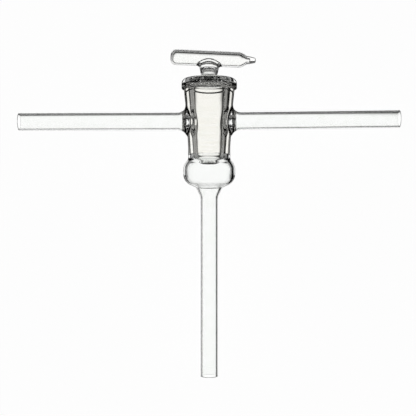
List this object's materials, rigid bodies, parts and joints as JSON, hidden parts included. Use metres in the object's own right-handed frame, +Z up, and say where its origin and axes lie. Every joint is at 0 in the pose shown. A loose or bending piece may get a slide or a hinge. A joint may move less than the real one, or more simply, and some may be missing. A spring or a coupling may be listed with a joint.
{
  "type": "vacuum stopcock",
  "caption": "Glass three-way vacuum stopcock: hollow ground plug with a T handle in a tapered barrel, plain side arms, a bulb and a leg below.",
  "frame": {"origin": "under the middle of the box round the part as it lies, on the bench plane", "axes": "+X along the arms towards the sealed tip of the handle, +Y along the barrel towards the handle, +Z up from the bench"},
  "size_m": [0.1864, 0.1602, 0.0271],
  "materials": {
    "body_glass": "clear fire-polished",
    "plug_glass": "clear, greased where it is ground"
  },
  "bodies": {
    "barrel": {"barrel_body": "body_glass"},
    "plug": {"hollow_plug": "plug_glass"}
  },
  "joints": [
    {"name": "plug_turn", "type": "hinge", "parent": "barrel", "child": "plug", "pos_m": [0, 0.04485, 0.01321], "axis": [0, 0.9998, 0.02], "continuous": true}
  ]
}
